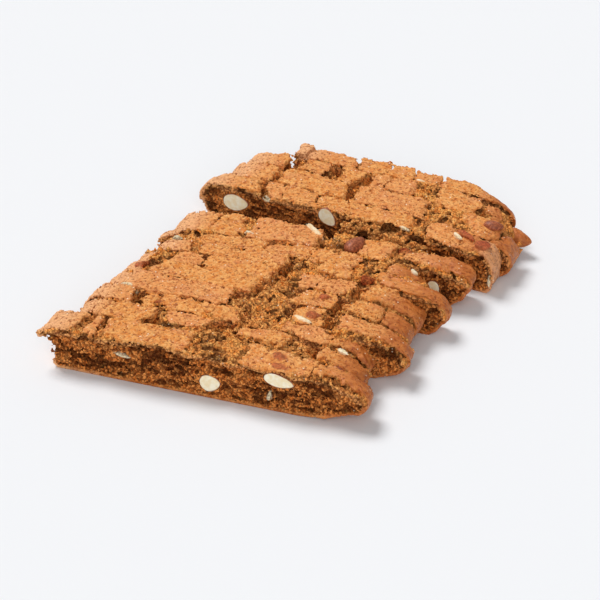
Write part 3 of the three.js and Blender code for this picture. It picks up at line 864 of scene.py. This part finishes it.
def largest_body(verts, quads):
    """Drops loose crumbs and hidden hollows: keeps the largest connected surface."""
    label = np.arange(len(verts))
    while True:
        low = label[quads].min(axis=1)
        new = label.copy()
        for i in range(4):
            np.minimum.at(new, quads[:, i], low)
        new = new[new]
        if np.array_equal(new, label):
            break
        label = new
    names, counts = np.unique(label, return_counts=True)
    keep = label == names[counts.argmax()]
    index = np.cumsum(keep) - 1
    return verts[keep], index[quads[keep[quads[:, 0]]]]


def carved_surface(field):
    """Points and faces of a slice, in millimetres, with y counted from its front cut."""
    xs, vs, zs = grid_points(field)
    x, v, z = np.meshgrid(xs, vs, zs, indexing="ij")
    points = np.stack([x.ravel(), v.ravel(), z.ravel()], 1).astype(np.float32)
    values = field.measure(points)["field"].astype(np.float32)
    near = (values > -DEEPEST_WEAR) & (values < HIGHEST_CHIP)
    values[near] = field.carve(points[near])[0]
    below = z.ravel() < 0
    values[below] = np.maximum(values[below], 0.5)
    low = np.array([xs[0], vs[0], zs[0]])
    verts, quads = largest_body(*skin_of(values.reshape(x.shape), low, STEP))
    verts[:, 2] = np.maximum(verts[:, 2], 0.02)
    return verts, quads


def place_of_loaf():
    """Where loaf x = 0, y = 0 lies in the frame, in metres, read from the first slice's box."""
    low, _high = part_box("slice_01")
    front, _back = cuts_of(0)
    left = SLICES[0]["tips"][0]
    return low[0] - left * MM, low[1] - (front[0] + front[1] * left) * MM


ORIGIN = place_of_loaf()


def to_frame(verts, front=(0.0, 0.0)):
    """Loaf millimetres to frame metres; with a front cut, y is counted from that cut."""
    out = np.array(verts, dtype=np.float64)
    out[:, 1] += front[0] + front[1] * out[:, 0]
    out *= MM
    out[:, :2] += ORIGIN
    return out


def fill(items, name, values, kind=np.float32):
    """Sets one property of all the points, corners or faces of a mesh."""
    items.foreach_set(name, np.ascontiguousarray(values, dtype=kind).ravel())


def new_object(name, verts, faces):
    """An object with its mesh, linked to the scene."""
    mesh = bpy.data.meshes.new(name)
    mesh.vertices.add(len(verts))
    fill(mesh.vertices, "co", verts)
    mesh.loops.add(faces.size)
    fill(mesh.loops, "vertex_index", faces, np.int32)
    mesh.polygons.add(len(faces))
    fill(mesh.polygons, "loop_start", np.arange(0, faces.size, faces.shape[1]), np.int32)
    mesh.update(calc_edges=True)
    obj = bpy.data.objects.new(name, mesh)
    bpy.context.scene.collection.objects.link(obj)
    return obj


def paint(mesh, name, values):
    """Stores a number a point, for the material."""
    fill(mesh.attributes.new(name, "FLOAT", "POINT").data, "value", values)


def coordinates(mesh):
    co = np.empty(len(mesh.vertices) * 3, dtype=np.float32)
    mesh.vertices.foreach_get("co", co)
    return co.reshape(-1, 3)


def finish_piece(obj, material, node):
    """Gives a piece its material and puts it in place of its CAD node."""
    mesh = obj.data
    fill(mesh.polygons, "use_smooth", np.ones(len(mesh.polygons)), bool)
    mesh.materials.append(material)
    mesh.update()
    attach(obj, "root")
    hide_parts(node)


def thin_out(obj, target):
    """Merges faces where the surface is flat, down to the target number of triangles."""
    faces = 2 * len(obj.data.polygons)
    if faces <= target:
        return
    mod = obj.modifiers.new("thin", "DECIMATE")
    mod.ratio = target / faces
    deps = bpy.context.evaluated_depsgraph_get()
    mesh = bpy.data.meshes.new_from_object(obj.evaluated_get(deps))
    obj.modifiers.clear()
    mesh.validate()
    old = obj.data
    obj.data = mesh
    bpy.data.meshes.remove(old)


def paint_slice(mesh, field):
    """Tells the material where crust, crumb, almond bits and darker ends are, and where it paints shade
    in pores and dimples and a highlight under crust edges.
    """
    co = coordinates(mesh)
    _field, facts = field.carve(co)
    left, right = field.spec["tips"]
    from_left, from_right = co[:, 0] - left, right - co[:, 0]
    base = 1 - ramp(co[:, 2], 0.3, 2.2)
    rosy = 1 - ramp(from_left, 18, 38)
    if field.k == ROSY_ENDED:
        rosy = np.maximum(rosy, 0.55 - 0.55 * ramp(from_right, 5, 12))
    coats = dict(
        bake=np.maximum(facts["baked"], base),
        # painted shade: darker where a point lies deep in a crumb pore
        pit_shade=ramp(facts["hollow"], 1.3, 2.7),
        # painted shade in the crust's dimples and hairlines, as deep as they are
        dimple_and_shade=clamp(facts["dimple_and_shade"], 0, 1),
        rosy=rosy,
        toast=np.maximum(1 - ramp(np.minimum(from_left, from_right), 6, 24), base),
        # painted highlight: paler crumb just under a crust edge, where the edges catch the light
        rim_highlight=ramp(facts["under"], 0.4, 1.2) * (1 - ramp(facts["under"], 3, 5)),
    )
    for name in ("cutface", "tone", "sleek", "kernel", "skin"):
        coats[name] = facts[name]
    for name, values in coats.items():
        paint(mesh, name, values)


def build_slice(k, material):
    field = SliceField(k)
    number = f"slice_{k + 1:02d}"
    obj = new_object("biscotti_" + number, *carved_surface(field))
    thin_out(obj, FACES_OPEN_SLICE if k in OPEN_SLICES else FACES_A_SLICE)
    paint_slice(obj.data, field)
    fill(obj.data.vertices, "co", to_frame(coordinates(obj.data), field.front))
    finish_piece(obj, material, number)


# ---- almonds --------
def almond_shape(size):
    """A pointed almond: length along x, thickness along y, width along z."""
    length, width, thick = size
    verts = []
    faces = []
    for i, j in itertools.product(range(ALMOND_ROWS + 1), range(ALMOND_AROUND)):
        a = math.pi * i / ALMOND_ROWS
        b = 2 * math.pi * j / ALMOND_AROUND
        t = -math.cos(a)
        radius = math.sin(a) * almond_taper(t)
        verts.append((t * length, math.sin(b) * thick * radius, math.cos(b) * width * radius))
        if i < ALMOND_ROWS:
            near, far = i * ALMOND_AROUND + j, i * ALMOND_AROUND + (j + 1) % ALMOND_AROUND
            faces.append((near, far, far + ALMOND_AROUND, near + ALMOND_AROUND))
    return np.array(verts), np.array(faces)


def placed_almond(at, size, turn, upright):
    """Points and faces of an almond set upright in a cut face or lying flat."""
    verts, faces = almond_shape(size)
    verts = verts * (1 + 0.05 * noise(verts.astype(np.float32), 4.0, 2)[:, None])
    verts[:, 0], verts[:, 2] = turned(verts[:, 0], verts[:, 2], -turn)
    if not upright:
        verts, faces = verts[:, [0, 2, 1]], faces[:, ::-1]
    return verts + np.array(at), faces


def sliced_flat(entry, verts):
    """Cuts an upright almond flush with the cut face, and tells where its bare kernel shows."""
    edge = nut_distance(entry, verts[:, 0], verts[:, 2])
    edge = edge + 0.06 * noise(verts.astype(np.float32), 3.0, 5)
    level = 0.05 + 0.08 * noise((verts + 9).astype(np.float32), 2.5, 4)
    sliced = (verts[:, 1] < level + 0.02).astype(float)
    verts[:, 1] = np.maximum(verts[:, 1], level)
    return sliced * (1 - 0.8 * ramp(edge, 0.9, 0.99))


def build_almond(entry, material):
    name, number, at, size, turn, cut = entry
    verts, faces = placed_almond(at, size, turn, cut)
    bare = sliced_flat(entry, verts) if cut else np.zeros(len(verts))
    front, _back = cuts_of(number - 1)
    obj = new_object("biscotti_" + name, to_frame(verts, front), faces)
    paint(obj.data, "sliced", bare)
    finish_piece(obj, material, name)


# ---- materials --------
class Shader:
    """A short way to write a node tree."""

    def __init__(self, name):
        self.material = bpy.data.materials.new(name)
        self.material.use_nodes = True
        self.tree = self.material.node_tree
        self.coords = self.node("ShaderNodeTexCoord").outputs["Object"]

    def node(self, kind, inputs=(), **settings):
        """A new node with its settings, and with inputs fed as (name or place, value)."""
        node = self.tree.nodes.new(kind)
        for key, value in settings.items():
            setattr(node, key, value)
        for key, value in inputs:
            self.link(value, node.inputs[key])
        return node

    def link(self, value, socket):
        """Feeds a socket from another node, or sets it where the value is a constant."""
        if isinstance(value, bpy.types.NodeSocket):
            self.tree.links.new(value, socket)
        else:
            socket.default_value = value

    def surface(self, colour, roughness, specular, height=None):
        """Sets the surface shader; a height is (socket, strength, millimetres)."""
        bsdf = self.tree.nodes["Principled BSDF"]
        self.link(colour, bsdf.inputs["Base Color"])
        self.link(roughness, bsdf.inputs["Roughness"])
        self.link(specular, bsdf.inputs["Specular IOR Level"])
        if height:
            self.link(self.bump(*height), bsdf.inputs["Normal"])
        return self.material

    def painted(self, name, share=1.0):
        """A share of a number that was painted on the points."""
        value = self.node("ShaderNodeAttribute", attribute_name=name).outputs["Fac"]
        return value if share == 1.0 else self.math("MULTIPLY", value, share)

    def noise(self, size, detail=2.0, roughness=0.5):
        """Noise whose bumps are about size millimetres across."""
        inputs = [("Vector", self.coords), ("Scale", 1 / (size * MM)), ("Detail", detail),
                  ("Roughness", roughness)]
        return self.node("ShaderNodeTexNoise", inputs).outputs["Fac"]

    def cells(self, size):
        """Distance to the nearest of a scatter of points about size millimetres apart."""
        inputs = [("Vector", self.coords), ("Scale", 1 / (size * MM))]
        return self.node("ShaderNodeTexVoronoi", inputs).outputs["Distance"]

    def math(self, operation, a, b):
        return self.node("ShaderNodeMath", enumerate((a, b)), operation=operation).outputs[0]

    def span(self, value, low, high, to_low=0.0, to_high=1.0):
        """Runs smoothly from to_low to to_high while the value runs from low to high."""
        inputs = [("Value", value), ("From Min", low), ("From Max", high), ("To Min", to_low),
                  ("To Max", to_high)]
        node = self.node("ShaderNodeMapRange", inputs, interpolation_type="SMOOTHSTEP")
        return node.outputs["Result"]

    def mix(self, factor, a, b):
        """Blends from colour a to colour b; each is a socket or three sRGB numbers."""
        a, b = (srgb(*colour) if isinstance(colour, tuple) else colour for colour in (a, b))
        return self.node("ShaderNodeMix", [(0, factor), (6, a), (7, b)], data_type="RGBA").outputs[2]

    def coated(self, colour, coats):
        """Lays coats (how much, colour) over a colour, one after the other."""
        for factor, coat in coats:
            colour = self.mix(factor, colour, coat)
        return colour

    def bump(self, height, strength, distance):
        inputs = [("Strength", strength), ("Distance", distance * MM), ("Height", height)]
        return self.node("ShaderNodeBump", inputs).outputs["Normal"]


def srgb(r, g, b):
    """A colour as picked on a screen, from 0 to 255, in the linear values of a shader."""
    shares = [c / 255 for c in (r, g, b)]
    return (*[c / 12.92 if c <= 0.04045 else ((c + 0.055) / 1.055) ** 2.4 for c in shares], 1)


def crust_colour(m, grit):
    """Smooth brown crust with pores, dark pricks and light grains and painted shade in its dimples,
    darker or rosy at the ends.
    """
    mottled, grain, fine, broad = grit
    end = m.mix(m.span(mottled, 0.35, 0.66), (172, 88, 34), (212, 126, 60))
    end = m.coated(end, [
        (m.painted("rosy", 0.95), (255, 196, 142)),
        (m.span(grain, 0.54, 0.66, 0, 0.5), (146, 68, 24)),
    ])
    top = m.mix(m.span(mottled, 0.34, 0.66), (228, 138, 58), (252, 184, 106))
    tone = m.math("MULTIPLY", m.span(m.painted("tone"), 0.2, 1), 0.35)
    return m.coated(top, [
        (tone, (242, 162, 104)),
        (m.span(broad, 0.5, 0.66, 0, 0.45), (228, 146, 94)),
        (m.span(grain, 0.54, 0.68, 0, 0.4), (190, 98, 34)),
        (m.span(fine, 0.33, 0.42, 0.7, 0), (255, 214, 152)),
        (m.painted("sleek", 0.55), (202, 112, 46)),
        (m.painted("toast", 0.85), end),
        (m.span(m.noise(1.7, 2, 0.5), 0.57, 0.65, 0, 0.75), (150, 70, 22)),
        (m.span(m.cells(2.1), 0.12, 0.2, 0.75, 0), (112, 46, 12)),
        # painted shade in the crust's dimples and hairlines
        (m.painted("dimple_and_shade", 0.6), (136, 60, 18)),
    ])


def crumb_colour(m, grit, crease_and_shade):
    """Open crumb between the crust plates: golden and dark grains, painted shade in the creases between
    them and a painted highlight under a crust edge.
    """
    mottled, grain, fine, _broad = grit
    colour = m.mix(m.span(mottled, 0.36, 0.64), (250, 146, 60), (255, 186, 104))
    return m.coated(colour, [
        (m.span(fine, 0.37, 0.46, 0.65, 0), (255, 200, 118)),
        # painted highlight under a crust edge
        (m.painted("rim_highlight", 0.25), (255, 190, 120)),
        (m.span(grain, 0.54, 0.63, 0, 0.6), (160, 60, 14)),
        # painted shade in the creases between grains
        (m.math("MULTIPLY", crease_and_shade, 0.45), (122, 38, 6)),
    ])


def inner_colour(m, grit, crease_and_shade):
    """Crumb in an open cut face, browner, with a painted highlight just under the crust and painted
    shade in its creases.
    """
    mottled, grain, fine, _broad = grit
    colour = m.mix(m.span(mottled, 0.36, 0.64), (216, 118, 48), (250, 160, 82))
    return m.coated(colour, [
        # painted highlight just under the crust
        (m.painted("rim_highlight", 0.5), (255, 192, 128)),
        (m.span(fine, 0.38, 0.47, 0.75, 0), (255, 182, 108)),
        (m.span(grain, 0.51, 0.61, 0, 0.75), (118, 44, 12)),
        # painted shade in the creases between grains
        (m.math("MULTIPLY", crease_and_shade, 0.6), (84, 28, 6)),
    ])


def biscuit_material():
    """Crust, crumb, sugar grains and fused almond bits, each where it was painted on the points; shade
    is painted into the crumb pores.
    """
    m = Shader("baked_biscuit")
    bake, cutface = m.painted("bake"), m.painted("cutface")
    grain, broad = m.noise(1.3, 4, 0.62), m.noise(7, 3)
    grit = (m.noise(2.6, 4, 0.6), grain, m.noise(0.9, 3, 0.6), broad)
    # creases between crumb grains: sunk by the bump and darkened as painted shade
    crease_and_shade = m.span(m.cells(1.3), 0.45, 0.72)
    crumb = m.mix(cutface, crumb_colour(m, grit, crease_and_shade), inner_colour(m, grit, crease_and_shade))
    # painted shade in the crumb pores
    painted_pit_shade = m.math("MULTIPLY", m.painted("pit_shade"), m.span(cutface, 0, 1, 0.78, 0.8))
    sugar = m.math("MULTIPLY", m.span(m.cells(3.0), 0.09, 0.16, 1, 0), m.span(broad, 0.45, 0.6))
    sugar = m.math("MULTIPLY", sugar, m.math("SUBTRACT", 1.0, cutface))
    patchy = m.span(grain, 0.38, 0.62)
    colour = m.coated(m.mix(bake, crumb, crust_colour(m, grit)), [
        (painted_pit_shade, (66, 21, 4)),
        (m.math("MULTIPLY", sugar, 0.8), (255, 238, 208)),
        (m.painted("kernel"), m.mix(patchy, (240, 218, 172), (255, 244, 214))),
        (m.painted("skin"), m.mix(patchy, (190, 92, 52), (128, 54, 26))),
    ])
    loose = m.math("SUBTRACT", 1.0, bake)
    rough = m.math("MULTIPLY", grain, m.span(loose, 0, 1, 0.6, 1.2))
    creased = m.math("MULTIPLY", m.math("MULTIPLY", crease_and_shade, loose), 0.8)
    glazed = m.math("MULTIPLY", m.painted("sleek"), bake)
    return m.surface(colour, m.span(glazed, 0, 1, 0.8, 0.38), m.span(bake, 0, 1, 0.06, 0.3),
                     (m.math("SUBTRACT", rough, creased), 1.0, 0.9))


def almond_material():
    """Bare kernel where an almond is sliced, its red-brown skin elsewhere."""
    m = Shader("almond")
    flesh = m.mix(m.span(m.noise(2.5, 3), 0.35, 0.7), (248, 228, 184), (255, 246, 220))
    skin = m.mix(m.span(m.noise(1.0, 4), 0.35, 0.7), (128, 62, 34), (186, 104, 64))
    return m.surface(m.mix(m.painted("sliced"), skin, flesh), 0.5, 0.4, (m.noise(0.8, 2), 0.4, 0.25))


# ---- stage, light and camera --------
def build_stage():
    """A plain pale table."""
    a = TABLE_HALF
    mesh = bpy.data.meshes.new("table")
    mesh.from_pydata([(-a, -a, 0), (a, -a, 0), (a, a, 0), (-a, a, 0)], [], [(0, 1, 2, 3)])
    obj = bpy.data.objects.new("table", mesh)
    bpy.context.scene.collection.objects.link(obj)
    mesh.materials.append(Shader("table_white").surface(TABLE_WHITE, 0.9, 0.1))


def sun(name, toward, strength, spread):
    """A soft light from far away; spread is how wide it looks, in degrees."""
    data = bpy.data.lights.new(name, "SUN")
    data.energy = strength
    data.angle = math.radians(spread)
    obj = bpy.data.objects.new(name, data)
    x, y, z = toward
    obj.rotation_euler = (math.atan2(math.hypot(x, y), z), 0, math.atan2(y, x) + math.pi / 2)
    bpy.context.scene.collection.objects.link(obj)


def build_light():
    sun("window", WINDOW_FROM, 2.3, 26)
    sun("fill", FILL_FROM, 1.15, 50)
    world = bpy.data.worlds.new("soft_white")
    world.use_nodes = True
    background = world.node_tree.nodes["Background"]
    background.inputs["Color"].default_value = (1, 1, 1, 1)
    background.inputs["Strength"].default_value = 0.3
    bpy.context.scene.world = world
    bpy.context.scene.view_settings.view_transform = "Standard"


def build_camera():
    """Looks at the middle of the loaf as the photograph does."""
    data = bpy.data.cameras.new("camera")
    data.sensor_width = 36.0
    data.lens = FOCAL_PIXELS / FRAME_PIXELS * data.sensor_width
    data.clip_end = 50
    obj = bpy.data.objects.new("camera", data)
    az, up = math.radians(CAMERA_AZIMUTH), math.radians(CAMERA_HEIGHT)
    back = np.array([math.sin(az) * math.cos(up), -math.cos(az) * math.cos(up), math.sin(up)])
    target = to_frame(np.array([CAMERA_TARGET]))[0]
    obj.location = target + back * CAMERA_DISTANCE * MM
    obj.rotation_euler = (math.pi / 2 - up, 0, az)
    bpy.context.scene.collection.objects.link(obj)
    bpy.context.scene.camera = obj


build_camera()
build_stage()
build_light()
biscuit = biscuit_material()
almond = almond_material()
for k in range(len(SLICES)):
    build_slice(k, biscuit)
for entry in ALMONDS:
    build_almond(entry, almond)
